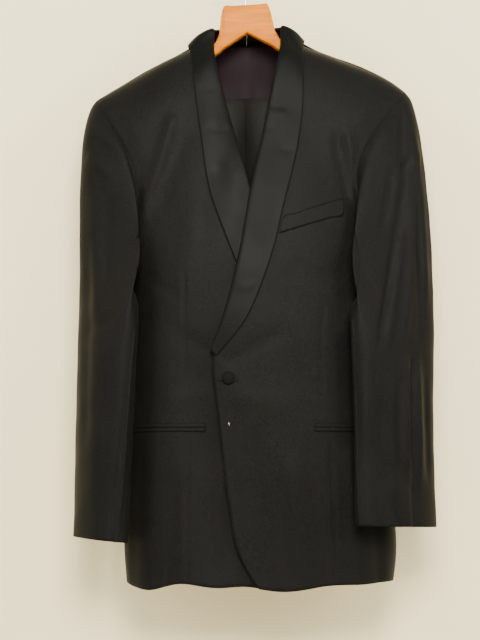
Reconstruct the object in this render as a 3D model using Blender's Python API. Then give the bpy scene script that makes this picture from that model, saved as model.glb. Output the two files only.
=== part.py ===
"""Dinner jacket and trousers on a wooden hanger. Units in the tables: millimetres and degrees.

+Z up, the fronts face -Y, origin at the inner top of the hanger's hook. Left and right in
node names are the wearer's, so the wearer's right is at -X.
"""
import math

import bpy
import numpy as np

for item in list(bpy.data.objects):
    bpy.data.objects.remove(item, do_unlink=True)

MM = 0.001

# walls and clearances
CLOTH = 2.0
SATIN = 1.5
THIN = 1.0
GAP = 0.3
HOOK_WIRE = 3.5
BAR_RADIUS = 6.0
BUTTON_RADIUS = 9.5
CUFF_BUTTON_RADIUS = 6.5

# the jacket
ROUND = 2.3
CREST = 75.0
SEAM_Y = 5.0
NECK_MID = 6.0
NECK_Y = 49.0
NECK_HALF = 61.0
UNDERARM = -455.0
ROLL_LIFT = 3.6
EDGE_LIFT = 3.0
ROLL_DEPTH = 9.0
STAND_DEPTH = 6.0
LAP = 10.0
LAP_RAMP = 70.0
BODY_CLEAR = 3.5
UPPER_ROWS = 8
UPPER_GROWTH = 1.6
LOWER_ROWS = 10
BREAK_ROWS = 3
BREAK = -603.0
FRONT_COLS = 10
NECK_COLS = 3
BACK_COLS = 8
SLEEVE_STEPS = 13

# the trousers
BAR_Z = -222.5
BAR_SLOPE = 1.7
HANGER_TILT = 3.4


def table(names, rows):
    return {name: np.array([row[i] for row in rows], dtype=float) for i, name in enumerate(names)}


def read(source, name, at):
    """Smooth curve through one named column, read along the table's first column."""
    keys = next(iter(source.values()))
    values = source[name]
    at = min(max(at, keys[0]), keys[-1])
    i = min(max(int(np.searchsorted(keys, at)) - 1, 0), len(keys) - 2)
    lo = max(i - 1, 0)
    hi = min(i + 2, len(keys) - 1)
    span = keys[i + 1] - keys[i]
    m0 = (values[i + 1] - values[lo]) / (keys[i + 1] - keys[lo]) * span
    m1 = (values[hi] - values[i]) / (keys[hi] - keys[i]) * span
    t = (at - keys[i]) / span
    a = (1 + 2 * t) * (1 - t) ** 2
    b = t * (1 - t) ** 2
    c = t * t * (3 - 2 * t)
    d = t * t * (t - 1)
    return a * values[i] + b * m0 + c * values[i + 1] + d * m1


BODY = table(("z", "left", "right", "front", "back"), (
    (-940, -169, 219, 88, 48),
    (-876, -174, 225, 86, 49),
    (-790, -173, 219, 87, 50),
    (-705, -170, 213, 88, 50),
    (-640, -168, 207, 88, 50),
    (-560, -167, 203, 87, 52),
    (-500, -170, 202, 83, 54),
    (-455, -175, 205, 79, 55),
    (-420, -181, 209, 74, 55),
    (-360, -192, 216, 66, 55),
    (-300, -208, 228, 56, 54),
    (-240, -224, 243, 48, 53),
    (-180, -232, 256, 42, 52),
    (-100, -236, 262, 38, 51),
))

RIDGE = table(("x", "z"), (
    (-240, -227),
    (-219, -211),
    (-192.6, -195),
    (-155, -172),
    (-117.5, -150.5),
    (-80, -132.5),
    (-55, -115.5),
    (-38, -115),
    (6, -116),
    (50, -111.5),
    (67, -110),
    (90, -125.5),
    (131.5, -142),
    (176.6, -160),
    (214, -178),
    (243, -198),
    (262, -213),
))

HEM = table(("x", "z"), (
    (-170, -929),
    (-154, -935),
    (-125, -937),
    (-100, -929),
    (-75, -928.5),
    (-54, -932),
    (-25, -933.5),
    (10, -932),
    (27, -935.5),
    (52, -938.5),
    (80, -937),
    (123, -930.5),
    (166, -929.5),
    (220, -926),
))

# the front edge of each half: the lapel's roll line above the button, the plain edge below
EDGE_OVER = table(("z", "x"), (
    (-936, 24),
    (-928, 12.5),
    (-908, 1.3),
    (-872, -10),
    (-809, -21.5),
    (-738, -30),
    (-682, -37),
    (-643, -41.5),
    (-613, -43.5),
    (-603, -43),
    (-538, -26),
    (-450, -4.5),
    (-355, 11.7),
    (-295, 25),
    (-218, 40),
    (-158, 52),
    (-139, 55.3),
    (-110, 63),
))

EDGE_UNDER = table(("z", "x"), (
    (-936, 34),
    (-872, 42),
    (-738, 47),
    (-603, 48),
    (-520, 38),
    (-430, 25),
    (-355, 11.7),
    (-310, -1.4),
    (-260, -16),
    (-202, -31),
    (-143, -43),
    (-115, -51),
))

# one row per ring of the sleeve, from the armhole to the hem: its outer and inner ends,
# half its depth and how far its front and back bow in towards the neck
SLEEVE_NAMES = ("row", "xo", "yo", "zo", "xi", "yi", "zi", "deep", "rear", "bow")
SLEEVE_RIGHT = table(SLEEVE_NAMES, (
    (0, -219, 5, -211, -175, 0, -455, 48, 36, 38),
    (1, -228, 3, -226, -176, -10, -468, 52, 41, 44),
    (2, -237, 1, -262, -170, -24, -484, 53, 44, 50),
    (3, -241, 0, -322, -160, -50, -504, 48, 43, 49),
    (4, -242, 0, -395, -151.5, -73, -529, 41, 40, 46),
    (5, -241, 1, -465, -151.5, -87, -564, 37, 37, 26),
    (6, -239, 1, -545, -156.5, -91, -615, 35, 35, 6),
    (7, -238, -4, -665, -162, -92, -700, 33.5, 33.5, 0),
    (8, -237.5, -10, -785, -167, -92, -797, 31.5, 31.5, 0),
    (9, -238, -14, -862, -170, -92, -869, 30.5, 30.5, 0),
))

SLEEVE_LEFT = table(SLEEVE_NAMES, (
    (0, 243, 5, -198, 205, 0, -455, 50, 36, 56),
    (1, 253, 2, -216, 209, -9, -468, 52, 40, 60),
    (2, 263, -2, -262, 203, -27, -485, 51, 42, 67),
    (3, 271, -8, -330, 180, -58, -505, 45, 38, 65),
    (4, 275.5, -16, -405, 157, -84, -528, 37, 34, 56),
    (5, 278, -22, -475, 153.5, -97, -562, 31, 30, 34),
    (6, 278.5, -25, -560, 155, -100, -612, 27, 27, 8),
    (7, 275, -27, -680, 158, -102, -700, 26, 26, 0),
    (8, 277, -29, -790, 158, -103, -797, 25, 25, 0),
    (9, 278, -31, -848, 158, -103, -845, 25, 25, 0),
))

# where the two seams of a sleeve lie around each ring
SLEEVE_SEAMS = table(("row", "front", "back"), (
    (0, 135, -67.5),
    (4, 170, -55),
    (7, 178, -48),
    (9, 166, -44),
))

# one row per place along a lapel: its roll line and its outer edge; y is given only where the
# collar stands up round the neck, and "on" says how fully the satin follows the front
SHAWL_NAMES = ("row", "rx", "ry", "rz", "ex", "ey", "ez", "tuck", "on")
SHAWL_RIGHT = table(SHAWL_NAMES, (
    (0, 6, 52, -88, 6, 57, -140, 23, 0),
    (1, -20, 47, -90, -36, 54, -141, 20, 0),
    (2, -41, 27, -96, -73, 34, -138, 13, 0),
    (3, -48, 0, -102.5, -83, 8, -128, 5, 0),
    (4, -44.5, -18, -108, -80, -20, -134, 4, 0),
    (5, -43, -30, -143, -75, -35, -176, 5, 1),
    (6, -31, -42, -202, -69, -42, -225, 9, 1),
    (7, -16, -50, -260, -61, -50, -285, 9, 1),
    (8, -1.4, -58, -310, -53, -58, -340, 9, 1),
    (9, 11.7, -64, -355, -41, -64, -385, 9, 1),
    (10, 25, -72, -430, -15, -72, -454, 9, 1),
    (11, 39.5, -80, -520, 16, -80, -535, 9, 1),
    (12, 50, -86, -598, 42, -86, -603, 6, 1),
))

SHAWL_LEFT = table(SHAWL_NAMES, (
    (0, 6, 52, -88, 6, 57, -140, 23, 0),
    (1, 33, 47, -88, 50, 54, -138, 20, 0),
    (2, 53, 27, -93, 86, 34, -133, 13, 0),
    (3, 62, 0, -97.5, 93, 8, -120.5, 5, 0),
    (4, 58.5, -18, -104, 91, -15, -128, 4, 0),
    (5, 55.3, -30, -139, 89.6, -35, -165, 5, 1),
    (6, 40, -42, -218, 88.7, -44, -232, 9, 1),
    (7, 25, -50, -295, 79, -55, -302, 9, 1),
    (8, 11.7, -62, -355, 61, -66, -377, 9, 1),
    (9, -4.5, -78, -450, 39, -78, -465, 9, 1),
    (10, -26, -86, -538, 5, -86, -549, 9, 1),
    (11, -46, -86, -597, -39, -86, -604, 6, 1),
))

# one row per place along a leg, measured over the bar from the front: the flat leg's edges
LEG = table(("s", "left", "right"), (
    (-520, -95, 120),
    (-250, -100, 124),
    (0, -105, 127),
    (210, -118, 142),
    (330, -128, 165),
    (440, -112, 148),
    (556, -96, 124),
))

# the hanger from its middle to an arm's end: upper and lower edges and half its thickness
ARM = table(("x", "top", "bottom", "half"), (
    (0, -66, -110, 7),
    (20, -66, -122, 7),
    (33, -66.5, -130, 7),
    (38, -82, -133, 7),
    (41, -103, -136, 7),
    (46, -118, -139, 7),
    (60, -128, -149, 7),
    (100, -152, -174, 7.5),
    (160, -186, -214, 8.5),
    (200, -206, -240, 9),
    (212, -214, -238, 6),
))

HOOK = table(("step", "x", "z"), (
    (0, 0, -70),
    (1, 0, -58),
    (2, 3.5, -49),
    (3, 14, -37.5),
    (4, 21.7, -20),
    (5, 15.4, -4.6),
    (6, 0, 1.75),
    (7, -15.4, -4.6),
    (8, -21.7, -20),
    (9, -19.5, -30),
))

COLOURS = {
    "cloth": (0.022, 0.019, 0.016),
    "satin": (0.028, 0.028, 0.024),
    "lining": (0.035, 0.020, 0.032),
    "cuff_lining": (0.012, 0.013, 0.020),
    "trouser": (0.020, 0.018, 0.015),
    "wood": (0.72, 0.38, 0.06),
    "steel": (0.62, 0.62, 0.64),
    "button": (0.020, 0.020, 0.016),
}


def unit(v):
    return v / max(float(np.linalg.norm(v)), 1e-9)


def smooth(t):
    t = min(max(t, 0.0), 1.0)
    return t * t * (3 - 2 * t)


def section(z):
    """Middle and half width of the body at a height."""
    left = read(BODY, "left", z)
    right = read(BODY, "right", z)
    return (left + right) / 2, (right - left) / 2


def seam_y(x, face):
    """Where the panel's top edge lies: on the shoulder seam, or round the back of the neck."""
    s = abs(x - NECK_MID) / NECK_HALF
    if face < 0 or s >= 1:
        return SEAM_Y
    return SEAM_Y + (NECK_Y - SEAM_Y) * (1 - s * s)


def skin_y(x, z, face):
    """Depth of the jacket's outside at a point: face is -1 in front and +1 behind."""
    mid, half = section(z)
    s = min(abs(x - mid) / half, 1.0)
    full = read(BODY, "front" if face < 0 else "back", z) * (1 - s ** ROUND) ** (1 / ROUND)
    drop = min(max((read(RIDGE, "z", x) - z) / CREST, 0.0), 1.0)
    crest = math.sqrt(1 - (1 - drop) ** 2)
    return seam_y(x, face) * (1 - crest) + face * full * crest


def under_lap(x, z):
    """How much deeper the right half runs where the left half laps over it."""
    cover = read(EDGE_OVER, "x", z) if z < -300 else 30.0
    return LAP * smooth((x - (cover - 14 - LAP_RAMP)) / LAP_RAMP)


def front_y(x, z, side):
    y = skin_y(x, z, -1)
    if side < 0:
        y += under_lap(x, z)
    return y


def ring(sleeve, row, degrees):
    """One point of a sleeve ring: 0 is its outer end, 90 its front, 180 its inner end."""
    outer = np.array([read(sleeve, name, row) for name in ("xo", "yo", "zo")])
    inner = np.array([read(sleeve, name, row) for name in ("xi", "yi", "zi")])
    arm = (outer - inner) / 2
    depth = np.array([0.0, 1.0, 0.0])
    depth = unit(depth - arm * (depth @ arm) / (arm @ arm))
    angle = math.radians(degrees)
    front = math.sin(angle) > 0
    bow = -np.sign(outer[0]) * read(sleeve, "bow", row) * abs(math.sin(angle)) ** 3
    if not front:
        bow *= max(1 - row / 1.5, 0.0)
    point = (outer + inner) / 2 + arm * math.cos(angle)
    point = point - depth * read(sleeve, "deep" if front else "rear", row) * math.sin(angle)
    return rest_on_body(point + np.array([bow, 0.0, 0.0]), row)


def rest_on_body(point, row):
    """Below the armhole a sleeve that would run into the body lies against it instead."""
    weight = smooth((-436 - point[2]) / 14) * smooth(row / 0.4)
    if weight <= 0:
        return point
    mid, half = section(point[2])
    deep = read(BODY, "front" if point[1] < 0 else "back", point[2])
    s = abs(point[0] - mid) / (half + BODY_CLEAR)
    t = abs(point[1]) / (deep + BODY_CLEAR)
    level = (s ** ROUND + t ** ROUND) ** (1 / ROUND)
    if level >= 1:
        return point
    push = 1 + (1 / level - 1) * weight
    return np.array([mid + (point[0] - mid) * push, point[1] * push, point[2]])


def normals(grid, flip=False, closed=False, ease=0):
    """Unit normals of a grid of points, by differences along its rows and columns."""
    along = np.empty_like(grid)
    along[1:-1] = grid[2:] - grid[:-2]
    along[0] = grid[1] - grid[0]
    along[-1] = grid[-1] - grid[-2]
    across = np.empty_like(grid)
    across[:, 1:-1] = grid[:, 2:] - grid[:, :-2]
    across[:, 0] = grid[:, 1] - grid[:, 0]
    across[:, -1] = grid[:, -1] - grid[:, -2]
    if closed:
        across[:, 0] = grid[:, 1] - grid[:, -2]
        across[:, -1] = across[:, 0]
    n = np.cross(along, across)
    n /= np.maximum(np.linalg.norm(n, axis=2, keepdims=True), 1e-9)
    if flip:
        n = -n
    for _ in range(ease):
        n[1:-1, 1:-1] = unit_rows(n[1:-1, 1:-1] * 2 + n[2:, 1:-1] + n[:-2, 1:-1]
                                  + n[1:-1, 2:] + n[1:-1, :-2])
    return n


def mitre(own, other):
    """Direction through the wall at a seam: shared, unless the pieces fold back on each other."""
    return unit(own + other) if own @ other > 0.1 else own


def open_seam(grid, edges, gap=GAP / 2):
    """Draw a grid back from the named edges, to leave half the seam gap."""
    g = grid.copy()
    if "first_row" in edges:
        g[0] += gap * unit_rows(grid[1] - grid[0])
    if "last_row" in edges:
        g[-1] += gap * unit_rows(grid[-2] - grid[-1])
    if "first_col" in edges:
        g[:, 0] += gap * unit_rows(grid[:, 1] - grid[:, 0])
    if "last_col" in edges:
        g[:, -1] += gap * unit_rows(grid[:, -2] - grid[:, -1])
    return g


def unit_rows(v):
    return v / np.maximum(np.linalg.norm(v, axis=-1, keepdims=True), 1e-9)


def material(name):
    made = bpy.data.materials.new(name)
    made.use_nodes = True
    shader = made.node_tree.nodes["Principled BSDF"]
    key = next((k for k in COLOURS if name.startswith(k)), "cloth")
    shader.inputs["Base Color"].default_value = (*COLOURS[key], 1.0)
    shader.inputs["Roughness"].default_value = 0.35 if key in ("satin", "wood", "steel") else 0.85
    shader.inputs["Metallic"].default_value = 1.0 if key == "steel" else 0.0
    return made


def solid(name, points, faces, colour):
    mesh = bpy.data.meshes.new(name)
    mesh.from_pydata([tuple(float(c) * MM for c in p) for p in points], [], faces)
    mesh.materials.append(material(colour + "_" + name))
    mesh.validate()
    made = bpy.data.objects.new(name, mesh)
    bpy.context.scene.collection.objects.link(made)
    return made


def wall(name, grid, inward, thick, colour):
    """A closed wall of cloth: the grid is its outside, inward points to its other face."""
    rows, cols = grid.shape[:2]
    inner = grid + inward * thick
    points = list(grid.reshape(-1, 3)) + list(inner.reshape(-1, 3))
    base = rows * cols
    faces = []
    for i in range(rows - 1):
        for j in range(cols - 1):
            a = i * cols + j
            b = a + 1
            c = a + cols + 1
            d = a + cols
            faces.append((a, b, c, d))
            faces.append((base + d, base + c, base + b, base + a))
    rim = [(0, j) for j in range(cols)]
    rim += [(i, cols - 1) for i in range(1, rows)]
    rim += [(rows - 1, j) for j in range(cols - 2, -1, -1)]
    rim += [(i, 0) for i in range(rows - 2, 0, -1)]
    loop = [i * cols + j for i, j in rim]
    # both sides of a seam split their rims from the higher point, so they stay parallel
    for a, b in zip(loop, loop[1:] + loop[:1]):
        if points[a][2] > points[b][2]:
            faces.append((b, a, base + b))
            faces.append((a, base + a, base + b))
        else:
            faces.append((b, a, base + a))
            faces.append((b, base + a, base + b))
    made = solid(name, points, faces, colour)
    face_out(made)
    return made


def face_out(made):
    """Turn a closed body's faces outward, by the sign of its volume."""
    mesh = made.data
    mesh.calc_loop_triangles()
    total = 0.0
    for tri in mesh.loop_triangles:
        a, b, c = (mesh.vertices[i].co for i in tri.vertices)
        total += a.dot(b.cross(c))
    if total < 0:
        mesh.flip_normals()


def tube(name, rings, colour):
    """A solid lofted through closed rings, capped at both ends."""
    count = len(rings[0])
    points = [p for r in rings for p in r]
    faces = []
    for i in range(len(rings) - 1):
        for j in range(count):
            k = (j + 1) % count
            faces.append((i * count + j, i * count + k, (i + 1) * count + k, (i + 1) * count + j))
    faces.append(tuple(range(count))[::-1])
    last = (len(rings) - 1) * count
    faces.append(tuple(last + j for j in range(count)))
    made = solid(name, points, faces, colour)
    face_out(made)
    return made


def panel_rows(side):
    """Start and end of each row of a front: the end lies on the armhole, then on the side."""
    sleeve = SLEEVE_RIGHT if side < 0 else SLEEVE_LEFT
    neck_x = NECK_MID + side * NECK_HALF
    top = read(RIDGE, "z", neck_x)
    rows = []
    for r in range(UPPER_ROWS + 1):
        t = r / UPPER_ROWS
        rows.append((t, top + (UNDERARM - top) * t ** UPPER_GROWTH, ring(sleeve, 0, 180 * t)))
    return rows


def share_down(k):
    """How far down from the underarm to the hem a lower row lies; one row meets the break."""
    level = (BREAK - UNDERARM) / (-935 - UNDERARM)
    if k <= BREAK_ROWS:
        return level * k / BREAK_ROWS
    return level + (1 - level) * (k - BREAK_ROWS) / (LOWER_ROWS - BREAK_ROWS)


def front_grid(side):
    edge = EDGE_UNDER if side < 0 else EDGE_OVER
    grid = []
    rows = panel_rows(side)
    chord_top = rows[0]
    for t, z_in, end in rows:
        mid_in, half_in = section(z_in)
        x_in = read(edge, "x", z_in) + side * 4.0
        psi_in = math.asin((x_in - mid_in) / half_in)
        mid_out, half_out = section(end[2])
        psi_out = math.asin(min(max((end[0] - mid_out) / half_out, -1), 1))
        line = []
        for j in range(FRONT_COLS + 1):
            u = j / FRONT_COLS
            psi = psi_in + (psi_out - psi_in) * u
            f = (math.sin(psi) - math.sin(psi_in)) / (math.sin(psi_out) - math.sin(psi_in))
            z = z_in + (end[2] - z_in) * f
            mid, half = section(z)
            x = mid + half * math.sin(psi)
            x += (end[0] - mid_out - half_out * math.sin(psi_out)) * u
            straight = chord_top[1] + (chord_top[2][2] - chord_top[1]) * f
            z += (read(RIDGE, "z", x) - straight) * (1 - t)
            y = front_y(x, z, side)
            y += (end[1] - front_y(end[0], end[2], side)) * smooth(u) ** 2
            line.append((x, y, z))
        line[-1] = tuple(end)
        grid.append(line)
    for k in range(1, LOWER_ROWS + 1):
        v = share_down(k)
        line = []
        bottom = read(HEM, "z", read(edge, "x", -936))
        z_in = UNDERARM + (bottom - UNDERARM) * v
        roll = smooth((z_in - BREAK + 5) / 35)
        x_in = read(edge, "x", z_in) + side * 4.0 * roll
        mid, half = section(z_in)
        psi_in = math.asin((x_in - mid) / half)
        psi_out = side * math.pi / 2
        for j in range(FRONT_COLS + 1):
            u = j / FRONT_COLS
            psi = psi_in + (psi_out - psi_in) * u
            x = mid + half * math.sin(psi)
            z = UNDERARM + (read(HEM, "z", x) - UNDERARM) * v
            at_mid, at_half = section(z)
            x = at_mid + at_half * math.sin(psi)
            if j == 0:
                x = x_in
            y = front_y(x, z, side)
            line.append((x, y, z))
        grid.append(line)
    return np.array(grid)


def back_grid(side, front):
    """The back half from its middle seam out to the armhole and the side of the front."""
    grid = []
    neck_x = NECK_MID + side * NECK_HALF
    sleeve = SLEEVE_RIGHT if side < 0 else SLEEVE_LEFT
    for r in range(len(front)):
        end = front[r][-1]
        upper = min(r / UPPER_ROWS, 1.0)
        if r < UPPER_ROWS:
            end = ring(sleeve, 0, -180 * upper)
        z_mid = read(RIDGE, "z", NECK_MID)
        z_mid += (UNDERARM - z_mid) * upper ** UPPER_GROWTH
        if r > UPPER_ROWS:
            v = share_down(r - UPPER_ROWS)
            z_mid = UNDERARM + (-934 - UNDERARM) * v
        line = []
        turn_x = NECK_MID + (neck_x - NECK_MID) * (1 + 0.35 * upper)
        z_turn = z_mid + (front[r][0][2] - z_mid) * (1 - upper)
        mid, half = section((z_mid + end[2]) / 2)
        psi_out = math.asin(min(max((end[0] - mid) / half, -1), 1))
        psi_turn = math.asin((turn_x - mid) / half)
        for j in range(BACK_COLS + 1):
            if j <= NECK_COLS:
                u = j / NECK_COLS
                x = NECK_MID + (turn_x - NECK_MID) * math.sin(u * math.pi / 2)
                z = z_mid + (z_turn - z_mid) * u * u
                f = 0.0
            else:
                u = (j - NECK_COLS) / (BACK_COLS - NECK_COLS)
                psi = psi_turn + (psi_out - psi_turn) * u
                f = (math.sin(psi) - math.sin(psi_turn)) / (math.sin(psi_out) - math.sin(psi_turn))
                x = turn_x + (end[0] - turn_x) * f
                z = z_turn + (end[2] - z_turn) * f
            if r == 0:
                z = read(RIDGE, "z", x)
            y = skin_y(x, z, 1)
            y += (end[1] - skin_y(end[0], end[2], 1)) * smooth(f) ** 3
            line.append((x, y, z))
        line[-1] = tuple(end)
        grid.append(line)
    return np.array(grid)


def sleeve_grid(sleeve, part, steps):
    """Top sleeve or under sleeve between its two seams; rows run down to the hem."""
    count = 9 if part == "top" else 7
    grid = []
    for i in range(steps + 1):
        row = 9 * (i / steps) ** 1.15
        front = read(SLEEVE_SEAMS, "front", row)
        back = read(SLEEVE_SEAMS, "back", row)
        if part == "top":
            angles = np.linspace(back, front, count + 1)
        else:
            angles = np.linspace(front, back + 360, count + 1)
        grid.append([ring(sleeve, row, a) for a in angles])
    outward = np.sign(sleeve["xo"][0])
    return np.array(grid) + np.array([outward * 0.7, 0.0, -0.5])


def shawl_grid(shawl, side, steps):
    """Half of the shawl: it starts inside the roll, turns over it and ends at the outer edge."""
    last = shawl["row"][-1]
    grid = []
    for i in range(steps + 1):
        row = last * i / steps
        r = np.array([read(shawl, name, row) for name in ("rx", "ry", "rz")])
        e = np.array([read(shawl, name, row) for name in ("ex", "ey", "ez")])
        on = min(max(read(shawl, "on", row), 0.0), 1.0)
        r[1] += (front_y(r[0], r[2], side) - ROLL_LIFT - r[1]) * on
        e[1] += (front_y(e[0], e[2], side) - EDGE_LIFT - e[1]) * on
        across = e - r
        width = float(np.linalg.norm(across))
        away = unit(across)
        outward = np.array([0.0, -1.0, 0.0]) * on + (1 - on) * neck_outward(r)
        outward = unit(outward - away * (outward @ away))
        fold = min(1.0, width / 26.0)
        tuck = read(shawl, "tuck", row)
        sinking = (STAND_DEPTH + (ROLL_DEPTH - STAND_DEPTH) * on) * (0.45 + 0.55 * fold)
        line = []
        for reach, sink in ((tuck, 1.0), (tuck / 2, 1.0), (0.4, 0.8), (-0.9, 0.45), (0.3, 0.12)):
            line.append(r + away * (reach * fold - 3 * (1 - fold)) - outward * sink * sinking)
        for c in (0.12, 0.35, 0.65, 1.0):
            p = r + across * c + outward * 3.0 * (1 - on) * c * (1 - c) * 4
            lift = ROLL_LIFT + (EDGE_LIFT - ROLL_LIFT) * c
            target = front_y(p[0], p[2], side) - lift
            p[1] += (target - p[1]) * on
            line.append(p)
        grid.append(line)
    return np.array(grid)


def neck_outward(point):
    """Away from the neck, and up, at a point of the collar's fold."""
    flat = np.array([(point[0] - NECK_MID) / 53.0, point[1] / 52.0, 0.0])
    return unit(unit(flat) * 0.75 + np.array([0.0, 0.0, 0.66]) * (1 - abs(unit(flat)[1]) * 0.8))


def lie_on(grid, x, z):
    """Depth of a front's own facets at a point seen from the front."""
    best = 0.0
    for i in range(len(grid) - 1):
        for j in range(len(grid[0]) - 1):
            quad = (grid[i][j], grid[i][j + 1], grid[i + 1][j + 1], grid[i + 1][j])
            if not (min(q[0] for q in quad) <= x <= max(q[0] for q in quad)):
                continue
            if not (min(q[2] for q in quad) <= z <= max(q[2] for q in quad)):
                continue
            for a, b, c in ((0, 1, 2), (0, 2, 3), (1, 2, 3), (0, 1, 3)):
                a, b, c = quad[a], quad[b], quad[c]
                side = np.array([[b[0] - a[0], c[0] - a[0]], [b[2] - a[2], c[2] - a[2]]])
                if abs(np.linalg.det(side)) < 1e-6:
                    continue
                u, v = np.linalg.solve(side, np.array([x - a[0], z - a[2]]))
                if u >= -1e-6 and v >= -1e-6 and u + v <= 1 + 1e-6:
                    best = min(best, a[1] + u * (b[1] - a[1]) + v * (c[1] - a[1]))
    return best


def on_front(side, places, lift):
    """Points laid on a front and moved out; places holds rows of (x, z)."""
    grid = fronts[side][0]
    patch = np.array([[(x, lie_on(grid, x, z), z) for x, z in row] for row in places])
    away = normals(patch)
    away = away if away[0, 4, 1] > 0 else -away
    return patch - away * lift, away


# bodies of the jacket
fronts = {}
backs = {}
sleeves = {}
for side in (-1, 1):
    sleeve = SLEEVE_RIGHT if side < 0 else SLEEVE_LEFT
    hand = "right" if side < 0 else "left"
    front = front_grid(side)
    back = back_grid(side, front)
    n_front = normals(front, flip=side < 0)
    n_back = normals(back, flip=side > 0)
    if n_front[4, 3, 1] < 0:
        n_front = -n_front
    if n_back[4, 3, 1] > 0:
        n_back = -n_back
    top = sleeve_grid(sleeve, "top", SLEEVE_STEPS)
    under = sleeve_grid(sleeve, "under", SLEEVE_STEPS)
    whole = np.concatenate([top, under[:, 1:]], axis=1)
    n_sleeve = normals(whole, closed=True, ease=2)
    middle = whole[:, :-1].mean(axis=1)
    if ((middle[8] - whole[8, 3]) @ n_sleeve[8, 3]) < 0:
        n_sleeve = -n_sleeve
    n_top = n_sleeve[:, :10].copy()
    n_under = n_sleeve[:, 9:].copy()

    # both edges of a seam share one direction through the wall
    side_rows = slice(UPPER_ROWS + 1, None)
    shared = unit_rows(n_front[side_rows, -1] + n_back[side_rows, -1])
    n_front[side_rows, -1] = shared
    n_back[side_rows, -1] = shared
    arm = np.zeros((17, 3))
    for k in range(UPPER_ROWS + 1):
        ahead = (3 + k) % 16
        behind = (3 - k) % 16
        a = n_sleeve[0, ahead]
        b = n_sleeve[0, behind]
        if k in (0, UPPER_ROWS):
            both = unit(n_front[k, -1] + n_back[k, -1])
            n_front[k, -1] = mitre(both, a)
            n_back[k, -1] = n_front[k, -1]
            arm[ahead] = mitre(a, both)
        else:
            arm[ahead] = mitre(a, n_front[k, -1])
            arm[behind] = mitre(b, n_back[k, -1])
            n_front[k, -1] = mitre(n_front[k, -1], a)
            n_back[k, -1] = mitre(n_back[k, -1], b)
    arm[16] = arm[0]
    n_top[0] = arm[:10]
    n_under[0] = arm[9:]
    down = np.array([0.0, 0.0, -1.0])
    n_front[0, :-1] = unit_rows(n_front[0, :-1] * [1, 0, 1] + down * 0.5)
    n_back[0, NECK_COLS:-1] = unit_rows(n_back[0, NECK_COLS:-1] * [1, 0, 1] + down * 0.5)
    n_back[:, 0] = unit_rows(n_back[:, 0] * [0, 1, 1])

    fronts[side] = (front, n_front)
    backs[side] = (back, n_back)
    sleeves[side] = (whole, n_sleeve)
    edges = ("first_row", "last_col")
    wall("front_" + hand, open_seam(front, edges), n_front, CLOTH, "cloth")
    wall("back_" + hand, open_seam(back, edges + ("first_col",)), n_back, CLOTH, "cloth")
    edges = ("first_row", "first_col", "last_col")
    wall("top_sleeve_" + hand, open_seam(top, edges), n_top, CLOTH, "cloth")
    wall("under_sleeve_" + hand, open_seam(under, edges), n_under, CLOTH, "cloth")

    # the lining that shows inside the cuff
    cuff = whole[-4:] + n_sleeve[-4:] * (CLOTH + 1.2)
    cuff[-1] += (cuff[-2] - cuff[-1]) * 0.22
    cuff = open_seam(cuff, ("first_col", "last_col"))
    wall("cuff_lining_" + hand, cuff, n_sleeve[-4:], THIN, "cuff_lining")

    # the satin shawl
    steps = 24
    shawl = SHAWL_RIGHT if side < 0 else SHAWL_LEFT
    grid = shawl_grid(shawl, side, steps)
    n_shawl = normals(grid, ease=1)
    if n_shawl[14, 7, 1] < 0:
        n_shawl = -n_shawl
    n_shawl[0] = unit_rows(n_shawl[0] * [0, 1, 1])
    wall("shawl_" + hand, open_seam(grid, ("first_row",)), n_shawl, SATIN, "satin")


def lining_back():
    """The back lining, from under the collar to above the hem, lies inside both backs."""
    rows = []
    for r in range(UPPER_ROWS + LOWER_ROWS):
        line = []
        for side in (-1, 1):
            outside, inward = backs[side]
            half = outside[r] + inward[r] * (CLOTH + (4.4 if r < 3 else 2.0))
            if r == 0:
                start = np.clip(0.3 + 0.06 * np.arange(BACK_COLS + 1), 0, 0.6)[:, None]
                below = outside[1] + inward[1] * (CLOTH + 4.4)
                half = outside[0] + inward[1] * (CLOTH + 4.4)
                half = half + (below - half) * start
            half[-1] = half[-1] * 0.7 + half[-2] * 0.3
            line += list(half[:0:-1]) if side < 0 else list(half)
        rows.append(line)
    return np.array(rows)


# the back lining lies on the backs' own points, moved in
lining = lining_back()
n_lining = normals(lining)
if n_lining[6, 6, 1] > 0:
    n_lining = -n_lining
wall("lining_back", lining, n_lining, THIN, "lining")

# the breast welt and the jets of the hip pockets lie on the fronts' own points, moved out
WELT = {"inner": 52.5, "outer": 145.8, "inner_z": -425.0, "outer_z": -394.9, "tall": 25.0,
        "slant": 7.0}
rows = []
for rise in (1.0, 0.0):
    row = []
    for u in np.linspace(0, 1, 8):
        x = WELT["inner"] + (WELT["outer"] - WELT["inner"]) * u + WELT["slant"] * rise * (1 - u)
        low = WELT["inner_z"] + (WELT["outer_z"] - WELT["inner_z"]) * u
        row.append((x, low + WELT["tall"] * rise))
    rows.append(row)
patch, away = on_front(1, rows, 2.0)
wall("breast_welt", patch, away, THIN, "cloth")
for hand, side, ends in (("right", -1, (-160, -54)), ("left", 1, (102.6, 190))):
    for name, top, bottom in (("upper", 5.4, 0.3), ("lower", -0.3, -5.4)):
        places = [[(x, -706.0 + dz) for x in np.linspace(*ends, 12)] for dz in (top, bottom)]
        patch, away = on_front(side, places, 2.0)
        wall("jet_%s_%s" % (name, hand), patch, away, THIN, "cloth")


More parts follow.
